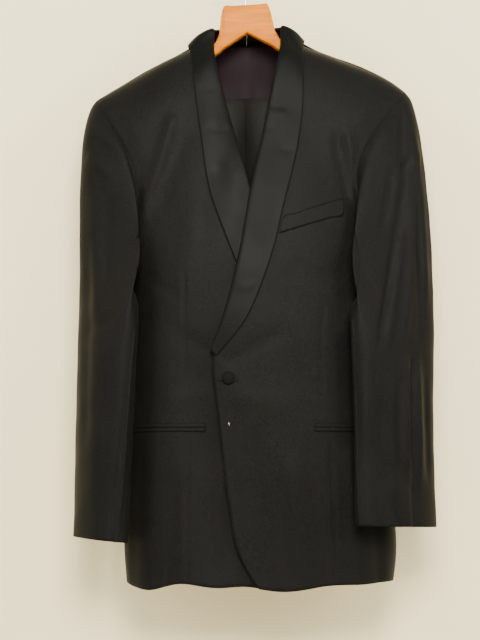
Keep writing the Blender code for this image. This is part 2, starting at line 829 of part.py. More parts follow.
def button(name, at, facing, radius, height):
    """A domed button standing on the cloth, its axis along facing."""
    facing = unit(np.array(facing, dtype=float))
    side = unit(np.cross(facing, [0.0, 0.0, 1.0]))
    up = np.cross(side, facing)
    rings = []
    for reach, rise in ((0.55, 0.0), (0.95, 0.12), (1.0, 0.42), (0.88, 0.78), (0.5, 0.97)):
        rings.append([np.array(at) + facing * rise * height
                      + (side * math.cos(a) + up * math.sin(a)) * reach * radius
                      for a in np.linspace(0, 2 * math.pi, 17)[:-1]])
    return tube(name, rings, "button")


button("front_button", (-21, front_y(-21, -636, 1) - 1.2, -636), (0, -1, 0), BUTTON_RADIUS, 4.2)
for hand, side in (("right", -1), ("left", 1)):
    whole, n_sleeve = sleeves[side]
    place = whole[-2, 1] + (whole[-1, 1] - whole[-2, 1]) * 0.35
    away = -n_sleeve[-2, 1]
    button("cuff_button_" + hand, place + away * 1.4, away, CUFF_BUTTON_RADIUS, 3.2)


def over_bar(s, radius, x):
    """A place along a leg laid over the bar at a radius: below it in front or behind."""
    slope = math.tan(math.radians(BAR_SLOPE)) * (x - NECK_MID)
    quarter = radius * math.pi / 2
    if abs(s) <= quarter:
        a = s / radius
        return np.array([x, radius * math.sin(a), BAR_Z + slope + radius * math.cos(a)])
    return np.array([x, math.copysign(radius, s), BAR_Z + slope - (abs(s) - quarter)])


def leg_steps(first, last, count_front, count_back, radius):
    turn = radius * math.pi / 2
    return list(np.linspace(first, -turn, count_front)) + [
        turn * k / 3 for k in range(-2, 3)] + list(np.linspace(turn, last, count_back))


def leg_panel(name, outer, inner, half, first=-520.0, last=516.0):
    """A leg's front or back piece: it wraps the crease, from the side seam to the inseam."""
    middle = (outer + inner) / 2
    grid = []
    for s in leg_steps(first, last, 3, 4, middle):
        left = read(LEG, "left", s)
        right = read(LEG, "right", s)
        seam = left + (right - left) * 0.47
        edge = left if half == "front" else right
        turn = math.copysign(1.0, seam - edge)
        bulge = abs(outer - inner) / 2
        crease = edge + turn * bulge
        seam += -turn * GAP / 2
        line = [over_bar(s, outer, seam), over_bar(s, outer, crease),
                over_bar(s, middle, edge), over_bar(s, inner, crease),
                over_bar(s, inner, seam)]
        grid.append(line)
    grid = np.array(grid)
    away = normals(grid)
    centre = grid[:, 1:4].mean(axis=1, keepdims=True)
    if ((centre - grid)[:, 2] * away[:, 2]).sum() < 0:
        away = -away
    wall(name, grid, away, THIN, "trouser")


near = BAR_RADIUS + 0.9
for hand, inner, outer in (("left", near, near + 2.8), ("right", near + 3.4, near + 6.2)):
    if hand == "left":
        inner, outer = outer, inner
    for half in ("front", "back"):
        leg_panel("trouser_%s_%s" % (half, hand), outer, inner, half)
    band = []
    middle = (outer + inner) / 2
    for s in (517.0, 536.0, 555.0):
        left = read(LEG, "left", s)
        right = read(LEG, "right", s)
        bulge = abs(outer - inner) / 2
        band.append([over_bar(s, inner, (left + right) / 2 - 12),
                     over_bar(s, inner, left + bulge), over_bar(s, middle, left),
                     over_bar(s, outer, left + bulge), over_bar(s, outer, right - bulge),
                     over_bar(s, middle, right), over_bar(s, inner, right - bulge),
                     over_bar(s, inner, (left + right) / 2 + 12)])
    band = np.array(band)
    away = normals(band)
    if ((band.mean(axis=(0, 1)) - band[1, 2]) @ away[1, 2]) < 0:
        away = -away
    wall("waistband_" + hand, band, away, THIN, "trouser")


def tilted(p):
    """Turn a point of the hanger about the inside of its hook."""
    a = math.radians(HANGER_TILT)
    return np.array([p[0] * math.cos(a) - p[2] * math.sin(a), p[1],
                     p[2] * math.cos(a) + p[0] * math.sin(a)])


def arm_ring(x):
    top = read(ARM, "top", abs(x))
    bottom = read(ARM, "bottom", abs(x))
    half = read(ARM, "half", abs(x))
    ring_points = []
    for y, z in ((0.45, 1.0), (0.9, 0.8), (1.0, 0.45), (1.0, -0.45), (0.9, -0.8), (0.45, -1.0),
                 (-0.45, -1.0), (-0.9, -0.8), (-1.0, -0.45), (-1.0, 0.45), (-0.9, 0.8),
                 (-0.45, 1.0)):
        reach = min((top - bottom) / 2, 9.0)
        mid = (top - reach) if z > 0 else (bottom + reach)
        ring_points.append(tilted((x, y * half, mid + z * reach)))
    return ring_points


stations = [0, 10, 20, 30, 33, 35.5, 38, 42, 48, 60, 80, 100, 130, 160, 182, 200, 208, 212]
stations = [-x for x in stations[:0:-1]] + stations
hanger = tube("hanger_body", [arm_ring(x) for x in stations], "wood")


def rod(name, path, radius, count, colour):
    """A round bar or wire along a path."""
    rings = []
    for i, p in enumerate(path):
        ahead = unit(path[min(i + 1, len(path) - 1)] - path[max(i - 1, 0)])
        side = np.array([0.0, 1.0, 0.0])
        up = np.cross(ahead, side)
        rings.append([p + (side * math.cos(a) + up * math.sin(a)) * radius
                      for a in np.linspace(0, 2 * math.pi, count + 1)[:-1]])
    return tube(name, rings, colour)


def bar_path(reach):
    slope = math.tan(math.radians(BAR_SLOPE))
    return [np.array([x, 0.0, BAR_Z + slope * (x - NECK_MID)])
            for x in (NECK_MID - reach, NECK_MID + reach)]


rod("hanger_bar", bar_path(194.0), BAR_RADIUS, 16, "wood")
socket = rod("socket_cutter", bar_path(196.0), BAR_RADIUS + GAP, 16, "wood")
wire = [tilted((read(HOOK, "x", k / 3), 0.0, read(HOOK, "z", k / 3))) for k in range(28)]
rod("hanger_hook", wire, HOOK_WIRE / 2, 10, "steel")
hole = rod("hook_cutter", [tilted((0.0, 0.0, z)) for z in (-60.0, -72.0)],
           HOOK_WIRE / 2 + GAP, 10, "steel")
for cutter in (socket, hole):
    cut = hanger.modifiers.new(cutter.name, "BOOLEAN")
    cut.operation = "DIFFERENCE"
    cut.solver = "EXACT"
    cut.object = cutter
    cutter.hide_render = True
    cutter.display_type = "WIRE"
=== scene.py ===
import math

import bmesh
import bpy
import numpy as np
from mathutils import Matrix, Vector
from mathutils.bvhtree import BVHTree
from mathutils.kdtree import KDTree


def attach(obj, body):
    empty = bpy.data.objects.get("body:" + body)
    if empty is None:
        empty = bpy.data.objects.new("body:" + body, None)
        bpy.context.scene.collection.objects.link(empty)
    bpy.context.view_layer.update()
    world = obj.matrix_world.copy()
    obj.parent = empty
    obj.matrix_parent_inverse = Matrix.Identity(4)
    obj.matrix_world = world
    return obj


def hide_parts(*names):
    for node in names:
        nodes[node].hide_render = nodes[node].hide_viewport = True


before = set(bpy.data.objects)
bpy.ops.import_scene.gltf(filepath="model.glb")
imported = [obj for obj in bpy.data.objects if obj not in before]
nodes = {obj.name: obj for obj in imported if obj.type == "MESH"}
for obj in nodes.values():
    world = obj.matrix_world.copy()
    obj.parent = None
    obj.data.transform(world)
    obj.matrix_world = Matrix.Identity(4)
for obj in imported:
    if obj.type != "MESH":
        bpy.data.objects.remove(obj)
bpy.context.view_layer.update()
mm = 0.001

sheetSetup = {
    "rimTolerance": 0.00002,      # how closely a rim's short edge matches the wall's thickness
    "fitSteps": 5,
    "weld": 0.00001,              # m within which points of a solid are one
    "seamEase": 14.0,             # mm over which folds fade out towards a seam
}


def mergedCopy(nodeName):
    # a welded copy of a solid
    bm = bmesh.new()
    bm.from_mesh(nodes[nodeName].data)
    bmesh.ops.remove_doubles(bm, verts=bm.verts, dist=sheetSetup["weld"])
    return bm


def pairTriangles(bm):
    bmesh.ops.join_triangles(bm, faces=bm.faces, angle_face_threshold=math.radians(70),
                             angle_shape_threshold=math.radians(180), topology_influence=2.0)


def islands(bm):
    # faces grouped by shared edges
    left = set(bm.faces)
    found = []
    while left:
        group = set()
        queue = [left.pop()]
        while queue:
            face = queue.pop()
            group.add(face)
            for edge in face.edges:
                for other in edge.link_faces:
                    if other in left:
                        left.discard(other)
                        queue.append(other)
        found.append(group)
    return found


def outerSheet(nodeName, wall, facing=None):
    # one face of a cloth wall: the larger one, or the one that faces a given way
    bm = mergedCopy(nodeName)
    tolerance = sheetSetup["rimTolerance"]
    rim = [f for f in bm.faces
           if any(abs(e.calc_length() - wall * mm) < tolerance for e in f.edges)]
    bmesh.ops.delete(bm, geom=rim, context="FACES")
    groups = islands(bm)
    if facing is None:
        best = max(groups, key=lambda g: sum(f.calc_area() for f in g))
    else:
        way = Vector(facing)
        best = max(groups, key=lambda g: sum(f.calc_area() * f.normal.dot(way) for f in g))
    rest = [f for f in bm.faces if f not in best]
    bmesh.ops.delete(bm, geom=rest, context="FACES")
    pairTriangles(bm)
    return bm


def addObject(name, mesh):
    made = bpy.data.objects.new(name, mesh)
    bpy.context.scene.collection.objects.link(made)
    return made


def evaluated(obj):
    graph = bpy.context.evaluated_depsgraph_get()
    graph.update()
    return bpy.data.meshes.new_from_object(obj.evaluated_get(graph))


def readPoints(mesh):
    co = np.zeros(len(mesh.vertices) * 3)
    mesh.vertices.foreach_get("co", co)
    return co.reshape(-1, 3)


def writePoints(mesh, co):
    mesh.vertices.foreach_set("co", np.asarray(co, dtype=np.float32).ravel())
    mesh.update()


def fitted(name, bm, levels, plain=False):
    # a smooth surface through the sheet's own points
    mesh = bpy.data.meshes.new(name)
    bm.to_mesh(mesh)
    bm.free()
    obj = addObject(name, mesh)
    target = readPoints(mesh)
    cage = target.copy()
    smooth = obj.modifiers.new("smooth", "SUBSURF")
    smooth.levels = smooth.render_levels = 1
    smooth.boundary_smooth = "PRESERVE_CORNERS"
    if plain:
        smooth.subdivision_type = "SIMPLE"
    for _ in range(0 if plain else sheetSetup["fitSteps"]):
        trial = evaluated(obj)
        cage += target - readPoints(trial)[:len(target)]
        bpy.data.meshes.remove(trial)
        writePoints(mesh, cage)
    smooth.levels = smooth.render_levels = levels
    fine = evaluated(obj)
    obj.modifiers.clear()
    obj.data = fine
    bpy.data.meshes.remove(mesh)
    fine.name = name
    return obj


def pointNormals(mesh):
    n = np.zeros(len(mesh.vertices) * 3)
    mesh.vertex_normals.foreach_get("vector", n)
    return n.reshape(-1, 3)


def smoothPath(path, steps=20):
    # a smooth run of points through a few places
    p = np.array(path, dtype=float)
    if len(p) == 2:
        return p[0] + (p[1] - p[0]) * np.linspace(0, 1, steps)[:, None]
    out = []
    for i in range(len(p) - 1):
        a = p[max(i - 1, 0)]
        b, c = p[i], p[i + 1]
        d = p[min(i + 2, len(p) - 1)]
        for t in np.linspace(0, 1, steps, endpoint=False):
            out.append(0.5 * (2 * b + (c - a) * t + (2 * a - 5 * b + 4 * c - d) * t * t
                              + (3 * b - a - 3 * c + d) * t ** 3))
    out.append(p[-1])
    return np.array(out)


def nearPath(flat, path):
    # distance from each point to a path, signed across it, and how far along it lies
    best = np.full(len(flat), 1e9)
    signed = np.zeros(len(flat))
    share = np.zeros(len(flat))
    last = len(path) - 1
    for i in range(last):
        a, b = path[i], path[i + 1]
        span = b - a
        length = max(float(span @ span), 1e-9)
        t = np.clip((flat - a) @ span / length, 0, 1)
        off = flat - a - t[:, None] * span
        dist = np.hypot(off[:, 0], off[:, 1])
        near = dist < best
        best = np.where(near, dist, best)
        cross = span[0] * off[:, 1] - span[1] * off[:, 0]
        signed = np.where(near, np.sign(cross) * dist, signed)
        share = np.where(near, (i + t) / last, share)
    return signed, share


def foldHeight(co, normal, folds):
    # total push along the normal, in mm, of a list of folds seen from the front or the back
    flat = co[:, [0, 2]] / mm
    total = np.zeros(len(co))
    for fold in folds:
        path = smoothPath(fold["path"])
        off, share = nearPath(flat, path)
        ease = fold.get("ease", 0.25)
        ends = np.clip(share / ease, 0, 1) * np.clip((1 - share) / ease, 0, 1)
        ends = ends * ends * (3 - 2 * ends)
        if fold.get("openEnd"):
            ends = np.clip(share / ease, 0, 1)
        if fold.get("openStart"):
            ends = np.clip((1 - share) / ease, 0, 1)
        width = fold["width"]
        lean = fold.get("lean", 0.0)          # one flank steeper than the other
        spread = width * (1 + lean * np.sign(off))
        shape = np.exp(-(off / spread) ** 2)
        face = -normal[:, 1] if fold.get("face", "front") == "front" else normal[:, 1]
        seen = np.clip((face + 0.15) / 0.3, 0, 1)
        total += fold["height"] * shape * ends * seen
    return total


def softWaves(co, seed, size, height):
    # long uneven undulations, the same on each run
    rng = np.random.default_rng(seed)
    total = np.zeros(len(co))
    for _ in range(7):
        way = rng.normal(size=3) * np.array([1.0, 0.6, 0.45])
        way /= np.linalg.norm(way)
        wave = size * rng.uniform(0.6, 1.5)
        total += np.sin(co @ way / (wave * mm) * 2 * math.pi + rng.uniform(0, 6.28))
    return total / 7 ** 0.5 * height


def seamEase(mesh, hem):
    # 0 on the piece's seams and 1 away from them; an open edge below the hem line stays free
    uses = np.zeros(len(mesh.edges), dtype=int)
    sides = np.zeros(len(mesh.loops), dtype=np.int32)
    mesh.loops.foreach_get("edge_index", sides)
    np.add.at(uses, sides, 1)
    ends = np.zeros(len(mesh.edges) * 2, dtype=np.int32)
    mesh.edges.foreach_get("vertices", ends)
    rim = np.unique(ends.reshape(-1, 2)[uses == 1])
    co = readPoints(mesh)
    rim = rim[co[rim, 2] > hem * mm]
    tree = KDTree(len(rim))
    for i, k in enumerate(rim):
        tree.insert(co[k], i)
    tree.balance()
    near = np.array([tree.find(p)[2] for p in co]) / mm
    t = np.clip(near / sheetSetup["seamEase"], 0, 1)
    return t * t * (3 - 2 * t)


def pushOut(obj, amount):
    mesh = obj.data
    writePoints(mesh, readPoints(mesh) + pointNormals(mesh) * (amount * mm)[:, None])


def wrapUv(obj, acrossX=None):
    # lays the cloth's own grain: across the piece and down it, in metres
    mesh = obj.data
    co = readPoints(mesh)
    n = pointNormals(mesh).mean(axis=0)
    middle = co.mean(axis=0)
    if acrossX:
        across = co[:, 0] - middle[0]
    else:
        turn = math.atan2(n[0], -n[1])
        radius = 0.05 if "sleeve" in obj.name else 0.12
        hub = middle - np.array([n[0], n[1], 0.0]) / max(np.hypot(n[0], n[1]), 1e-6) * radius
        angle = np.arctan2(co[:, 0] - hub[0], -(co[:, 1] - hub[1])) - turn
        angle = (angle + math.pi) % (2 * math.pi) - math.pi
        across = angle * radius * 1.3
    layer = mesh.uv_layers.new(name="cloth")
    corner = np.zeros(len(mesh.loops), dtype=np.int32)
    mesh.loops.foreach_get("vertex_index", corner)
    uv = np.stack([across[corner], co[corner, 2]], axis=1)
    layer.data.foreach_set("uv", uv.astype(np.float32).ravel())


def thicken(obj, wall):
    solid = obj.modifiers.new("thickness", "SOLIDIFY")
    solid.thickness = wall * mm
    solid.offset = -1.0
    solid.use_even_offset = False
    solid.use_quality_normals = True
    obj.data.polygons.foreach_set("use_smooth", [True] * len(obj.data.polygons))


def newMaterial(name):
    made = bpy.data.materials.new(name)
    made.use_nodes = True
    tree = made.node_tree
    return made, tree, tree.nodes["Principled BSDF"]


def node(tree, kind, **values):
    made = tree.nodes.new(kind)
    for key, value in values.items():
        if key in made.inputs:
            made.inputs[key].default_value = value
        else:
            setattr(made, key, value)
    return made


def ramp(tree, source, stops):
    made = tree.nodes.new("ShaderNodeValToRGB")
    tree.links.new(source, made.inputs["Fac"])
    line = made.color_ramp
    while len(line.elements) < len(stops):
        line.elements.new(0.5)
    for element, (place, colour) in zip(line.elements, stops):
        element.position = place
        element.color = (*colour, 1.0)
    return made


def scaled(tree, source, scale):
    made = node(tree, "ShaderNodeMapping")
    made.inputs["Scale"].default_value = scale
    tree.links.new(source, made.inputs["Vector"])
    return made.outputs["Vector"]


def clothMaterial(name, look):
    made, tree, shader = newMaterial(name)
    link = tree.links.new
    place = node(tree, "ShaderNodeTexCoord")
    grain = node(tree, "ShaderNodeUVMap", uv_map="cloth")
    # slubs along the weft and the warp, and slow changes of shade over the piece
    weft = node(tree, "ShaderNodeTexNoise", Scale=1.0, Detail=3.0, Roughness=0.6)
    link(scaled(tree, grain.outputs["UV"], (180.0, 1500.0, 1.0)), weft.inputs["Vector"])
    warp = node(tree, "ShaderNodeTexNoise", Scale=1.0, Detail=3.0, Roughness=0.6)
    link(scaled(tree, grain.outputs["UV"], (1500.0, 160.0, 1.0)), warp.inputs["Vector"])
    both = node(tree, "ShaderNodeMix", data_type="FLOAT")
    link(weft.outputs["Fac"], both.inputs[2])
    link(warp.outputs["Fac"], both.inputs[3])
    both.inputs[0].default_value = 0.5
    mottle = node(tree, "ShaderNodeTexNoise", Scale=look["mottle"], Detail=2.0, Roughness=0.6)
    link(place.outputs["Object"], mottle.inputs["Vector"])
    yarn = node(tree, "ShaderNodeMix", data_type="FLOAT")
    yarn.inputs[0].default_value = 0.72
    link(both.outputs[0], yarn.inputs[2])
    link(mottle.outputs["Fac"], yarn.inputs[3])
    slow = node(tree, "ShaderNodeTexNoise", Scale=look["patch"], Detail=4.0, Roughness=0.55)
    link(place.outputs["Object"], slow.inputs["Vector"])
    blend = node(tree, "ShaderNodeMix", data_type="FLOAT")
    link(yarn.outputs[0], blend.inputs[2])
    link(slow.outputs["Fac"], blend.inputs[3])
    blend.inputs[0].default_value = look["patchShare"]
    colour = ramp(tree, blend.outputs[0], ((0.38, look["dark"]), (0.62, look["light"])))
    link(colour.outputs["Color"], shader.inputs["Base Color"])
    rough = node(tree, "ShaderNodeMapRange")
    link(slow.outputs["Fac"], rough.inputs["Value"])
    rough.inputs["From Min"].default_value = 0.3
    rough.inputs["From Max"].default_value = 0.7
    rough.inputs["To Min"].default_value = look["rough"] - 0.05
    rough.inputs["To Max"].default_value = look["rough"] + 0.05
    link(rough.outputs["Result"], shader.inputs["Roughness"])
    bump = node(tree, "ShaderNodeBump", Strength=look["bump"], Distance=0.0004)
    link(yarn.outputs[0], bump.inputs["Height"])
    link(bump.outputs["Normal"], shader.inputs["Normal"])
    shader.inputs["Sheen Weight"].default_value = look["sheen"]
    shader.inputs["Sheen Roughness"].default_value = look["sheenRough"]
    shader.inputs["Sheen Tint"].default_value = (*look["sheenTint"], 1.0)
    shader.inputs["Specular IOR Level"].default_value = look["specular"]
    return made


clothLook = {
    "dark": (0.0032, 0.0031, 0.0027), "light": (0.0088, 0.0085, 0.0073),
    "patch": 9.0, "patchShare": 0.18, "rough": 0.52, "bump": 0.6, "mottle": 520.0,
    "sheen": 0.006, "sheenRough": 0.5, "sheenTint": (1.0, 0.97, 0.90), "specular": 0.042,
}
trouserLook = dict(clothLook, dark=(0.0085, 0.0081, 0.0069), light=(0.0150, 0.0143, 0.0122))
satinLook = {
    "dark": (0.0036, 0.0038, 0.0032), "light": (0.0056, 0.0058, 0.0049),
    "patch": 14.0, "patchShare": 0.6, "rough": 0.42, "bump": 0.12, "mottle": 500.0,
    "sheen": 0.01, "sheenRough": 0.3, "sheenTint": (0.95, 1.0, 0.9), "specular": 0.035,
}
liningLook = {
    "dark": (0.0105, 0.0058, 0.0072), "light": (0.0165, 0.0092, 0.0114),
    "patch": 16.0, "patchShare": 0.5, "rough": 0.45, "bump": 0.12, "mottle": 500.0,
    "sheen": 0.01, "sheenRough": 0.3, "sheenTint": (1.0, 0.8, 0.95), "specular": 0.03,
}
cuffLook = dict(liningLook, dark=(0.008, 0.009, 0.015), light=(0.014, 0.016, 0.026))

cloth = clothMaterial("darkWorsted", clothLook)
trouserCloth = clothMaterial("trouserWorsted", trouserLook)
satin = clothMaterial("lapelSatin", satinLook)
lining = clothMaterial("backLining", liningLook)
cuffLining = clothMaterial("sleeveLining", cuffLook)


def woodMaterial():
    made, tree, shader = newMaterial("varnishedBeech")
    link = tree.links.new
    place = node(tree, "ShaderNodeTexCoord")
    rings = node(tree, "ShaderNodeTexNoise", Scale=1.0, Detail=6.0, Roughness=0.6,
                 Distortion=0.6)
    link(scaled(tree, place.outputs["Object"], (14.0, 160.0, 160.0)), rings.inputs["Vector"])
    colour = ramp(tree, rings.outputs["Fac"], ((0.25, (0.42, 0.105, 0.0)),
                                               (0.5, (0.53, 0.150, 0.0)),
                                               (0.75, (0.62, 0.195, 0.0))))
    # fine short rays in the grain
    rays = node(tree, "ShaderNodeTexNoise", Scale=1.0, Detail=2.0)
    link(scaled(tree, place.outputs["Object"], (90.0, 900.0, 900.0)), rays.inputs["Vector"])
    fleck = ramp(tree, rays.outputs["Fac"], ((0.55, (1.0, 1.0, 1.0)), (0.75, (0.82, 0.72, 0.6))))
    mix = node(tree, "ShaderNodeMix", data_type="RGBA", blend_type="MULTIPLY")
    mix.inputs[0].default_value = 0.8
    link(colour.outputs["Color"], mix.inputs[6])
    link(fleck.outputs["Color"], mix.inputs[7])
    link(mix.outputs[2], shader.inputs["Base Color"])
    bump = node(tree, "ShaderNodeBump", Strength=0.12, Distance=0.0005)
    link(rings.outputs["Fac"], bump.inputs["Height"])
    link(bump.outputs["Normal"], shader.inputs["Normal"])
    shader.inputs["Roughness"].default_value = 0.32
    shader.inputs["Specular IOR Level"].default_value = 0.05
    return made


def steelMaterial():
    made, tree, shader = newMaterial("hookWire")
    place = node(tree, "ShaderNodeTexCoord")
    marks = node(tree, "ShaderNodeTexNoise", Scale=900.0, Detail=3.0)
    tree.links.new(place.outputs["Object"], marks.inputs["Vector"])
    colour = ramp(tree, marks.outputs["Fac"], ((0.3, (0.50, 0.50, 0.52)),
                                               (0.7, (0.68, 0.68, 0.70))))
    tree.links.new(colour.outputs["Color"], shader.inputs["Base Color"])
    shader.inputs["Metallic"].default_value = 1.0
    shader.inputs["Roughness"].default_value = 0.28
    return made


wood = woodMaterial()
steel = steelMaterial()
print("materials made")

# folds and creases: paths, widths and heights in mm, as seen from the front
rightFrontFolds = [
    {"path": ((-120, -380), (-124, -460), (-126, -580), (-124, -760), (-126, -936)),
     "width": 20, "height": 0.5, "openEnd": True},
    {"path": ((-98, -240), (-107, -264), (-125, -326), (-142, -378), (-149, -446)),
     "width": 9, "height": 2.2},
    {"path": ((-84, -262), (-94, -300), (-110, -350), (-120, -410)), "width": 14, "height": -1.4},
    {"path": ((-85, -470), (-85, -550), (-84, -634)), "width": 2.2, "height": -0.8},
    {"path": ((-80, -716), (-80, -810), (-79, -922)), "width": 2.2, "height": -0.9,
     "openEnd": True},
    {"path": ((-123, -700), (-130, -810), (-136, -936)), "width": 12, "height": 0.9,
     "openEnd": True},
    {"path": ((-152, -715), (-156, -800), (-159, -936)), "width": 9, "height": -1.0,
     "openEnd": True},
    {"path": ((-100, -780), (-103, -860), (-105, -936)), "width": 10, "height": -1.2,
     "openEnd": True},
    {"path": ((-108, -936), (-108, -915), (-107, -902)), "width": 2.4, "height": -0.9},
    {"path": ((-107, -901), (-90, -900), (-72, -901)), "width": 2.0, "height": -0.6},
    {"path": ((-150, -470), (-120, -500), (-88, -520)), "width": 10, "height": -0.9},
    {"path": ((-40, -600), (-70, -585), (-110, -560)), "width": 12, "height": -0.8},
    {"path": ((-40, -650), (-75, -662), (-120, -672)), "width": 14, "height": 0.8},
    {"path": ((-30, -740), (-34, -820), (-18, -925)), "width": 12, "height": 1.0,
     "openEnd": True},
]

leftFrontFolds = [
    {"path": ((136, -262), (141, -300), (149, -340), (151, -380)), "width": 8, "height": -1.8},
    {"path": ((152, -255), (160, -300), (167, -350), (168, -392)), "width": 8, "height": 1.8},
    {"path": ((117, -515), (113, -595), (111, -704)), "width": 2.2, "height": -0.8},
    {"path": ((125, -716), (128, -781), (131, -855), (133, -930)), "width": 2.4, "height": -0.9},
    {"path": ((70, -740), (76, -830), (84, -936)), "width": 15, "height": 1.4, "openEnd": True},
    {"path": ((150, -720), (160, -800), (168, -932)), "width": 12, "height": 1.8,
     "openEnd": True},
    {"path": ((182, -710), (190, -800), (196, -930)), "width": 9, "height": -1.8,
     "openEnd": True},
    {"path": ((100, -790), (106, -860), (112, -934)), "width": 9, "height": -1.2,
     "openEnd": True},
    {"path": ((-30, -618), (10, -596), (70, -560)), "width": 13, "height": -1.0},
    {"path": ((-22, -655), (20, -668), (80, -680)), "width": 15, "height": 0.8},
    {"path": ((10, -700), (16, -800), (30, -925)), "width": 18, "height": -1.0,
     "openEnd": True},
    {"path": ((60, -470), (110, -490), (160, -478)), "width": 14, "height": -0.9},
    {"path": ((185, -470), (160, -530), (140, -580)), "width": 10, "height": 1.0},
]

backFolds = [
    {"path": ((6, -160), (6, -500), (22, -934)), "width": 2.0, "height": -0.7, "face": "back",
     "openEnd": True, "openStart": True},
    {"path": ((-150, -270), (-120, -340), (-112, -430), (-118, -520)), "width": 12,
     "height": 2.2, "face": "back"},
    {"path": ((-165, -330), (-150, -420), (-146, -520)), "width": 9, "height": -1.8,
     "face": "back"},
    {"path": ((168, -262), (140, -336), (130, -428), (137, -530)), "width": 12,
     "height": 2.0, "face": "back"},
    {"path": ((185, -330), (170, -425), (163, -512)), "width": 9, "height": -1.7,
     "face": "back"},
    {"path": ((-60, -190), (6, -206), (72, -186)), "width": 9, "height": -1.2, "face": "back"},
    {"path": ((-100, -560), (-40, -590), (6, -585)), "width": 14, "height": -1.0,
     "face": "back"},
    {"path": ((120, -548), (70, -575), (14, -568)), "width": 13, "height": -0.9,
     "face": "back"},
    {"path": ((-70, -640), (-80, -780), (-90, -934)), "width": 16, "height": 1.8,
     "face": "back", "openEnd": True},
    {"path": ((100, -630), (112, -790), (120, -934)), "width": 18, "height": 1.6,
     "face": "back", "openEnd": True},
    {"path": ((-30, -700), (-32, -820), (-28, -934)), "width": 13, "height": -1.3,
     "face": "back", "openEnd": True},
    {"path": ((60, -720), (66, -830), (70, -934)), "width": 12, "height": -1.2,
     "face": "back", "openEnd": True},
]

rightSleeveFolds = [
    {"path": ((-226, -270), (-203, -294), (-178, -314)), "width": 8, "height": -1.8},
    {"path": ((-232, -300), (-212, -320), (-188, -338)), "width": 8, "height": 1.2},
    {"path": ((-214, -330), (-216, -420), (-212, -520), (-210, -600)), "width": 13,
     "height": 1.4},
    {"path": ((-196, -350), (-200, -440), (-198, -540)), "width": 9, "height": -1.6},
    {"path": ((-228, -420), (-226, -520), (-227, -640), (-226, -760)), "width": 8,
     "height": -1.2},
    {"path": ((-171, -700), (-178, -774), (-186, -866)), "width": 2.4, "height": -1.0,
     "openEnd": True},
    {"path": ((-180, -540), (-200, -556), (-230, -560)), "width": 9, "height": -1.3},
    {"path": ((-178, -580), (-196, -600), (-226, -612)), "width": 10, "height": 0.9},
    {"path": ((-205, -680), (-208, -770), (-205, -860)), "width": 12, "height": 1.1,
     "openEnd": True},
    {"path": ((-225, -320), (-205, -420), (-200, -560), (-206, -700)), "width": 11,
     "height": -1.8, "face": "back"},
    {"path": ((-235, -330), (-222, -440), (-218, -560)), "width": 9, "height": 1.5,
     "face": "back"},
    {"path": ((-190, -560), (-210, -580), (-235, -585)), "width": 9, "height": -1.6,
     "face": "back"},
]

leftSleeveFolds = [
    {"path": ((243, -300), (240, -318), (234, -358), (219, -447), (202, -536), (186, -606)),
     "width": 4.2, "height": -2.8, "lean": 0.35},
    {"path": ((223, -310), (212, -373), (201, -424)), "width": 4.0, "height": -1.7},
    {"path": ((237, -215), (235, -282), (233, -346)), "width": 4.5, "height": -1.6},
    {"path": ((250, -250), (259, -330), (264, -430), (268, -540)), "width": 5.5, "height": 2.2},
    {"path": ((249, -345), (247, -430), (240, -520), (226, -600)), "width": 5.5, "height": 2.0},
    {"path": ((262, -300), (258, -400), (259, -500), (252, -600)), "width": 4.0,
     "height": -1.4},
    {"path": ((233, -400), (225, -470), (214, -540), (205, -600)), "width": 4.5, "height": 1.8},
    {"path": ((244, -600), (244, -641), (243, -709), (244, -800)), "width": 3.6,
     "height": -2.2},
    {"path": ((252, -590), (253, -650), (254, -709), (256, -790)), "width": 4.0,
     "height": 1.6},
    {"path": ((232, -590), (235, -650), (234, -720), (236, -800)), "width": 4.6,
     "height": 1.5},
    {"path": ((224, -630), (222, -700), (223, -780)), "width": 5.0, "height": -1.3},
    {"path": ((264, -620), (265, -700), (267, -790)), "width": 4.0, "height": -1.1},
    {"path": ((214, -800), (219, -820), (228, -848)), "width": 5.0, "height": -1.6,
     "openEnd": True},
    {"path": ((243, -780), (243, -815), (243, -848)), "width": 5.0, "height": -1.6,
     "openEnd": True},
    {"path": ((232, -790), (234, -820), (236, -848)), "width": 6.0, "height": 1.6,
     "openEnd": True},
    {"path": ((180, -420), (188, -520), (176, -640), (172, -800)), "width": 12, "height": 1.0},
    {"path": ((200, -640), (196, -720), (198, -845)), "width": 9, "height": -0.9,
     "openEnd": True},
    {"path": ((236, -300), (222, -400), (215, -520), (222, -680)), "width": 9, "height": -2.0,
     "face": "back"},
    {"path": ((256, -320), (244, -430), (238, -560)), "width": 7, "height": 1.8,
     "face": "back"},
    {"path": ((206, -560), (232, -585), (262, -590)), "width": 8, "height": -1.5,
     "face": "back"},
    {"path": ((240, -600), (246, -700), (244, -800)), "width": 6, "height": -1.5,
     "face": "back"},
]

shawlFolds = [
    {"path": ((36, -228), (50, -232), (66, -231)), "width": 3.5, "height": -0.9},
    {"path": ((34, -240), (50, -244), (68, -243)), "width": 4.5, "height": 0.6},
    {"path": ((14, -262), (30, -265), (50, -264)), "width": 3.2, "height": -0.8},
    {"path": ((52, -296), (66, -300), (80, -297)), "width": 4.0, "height": -0.5},
    {"path": ((6, -400), (26, -406), (52, -400)), "width": 6.0, "height": -0.5},
    {"path": ((-12, -500), (4, -505), (22, -500)), "width": 6.0, "height": 0.5},
    {"path": ((-34, -200), (-50, -205), (-66, -200)), "width": 5.0, "height": -0.6},
    {"path": ((-20, -262), (-38, -268), (-58, -262)), "width": 6.0, "height": -0.6},
    {"path": ((-4, -320), (-22, -328), (-46, -322)), "width": 7.0, "height": 0.6},
]

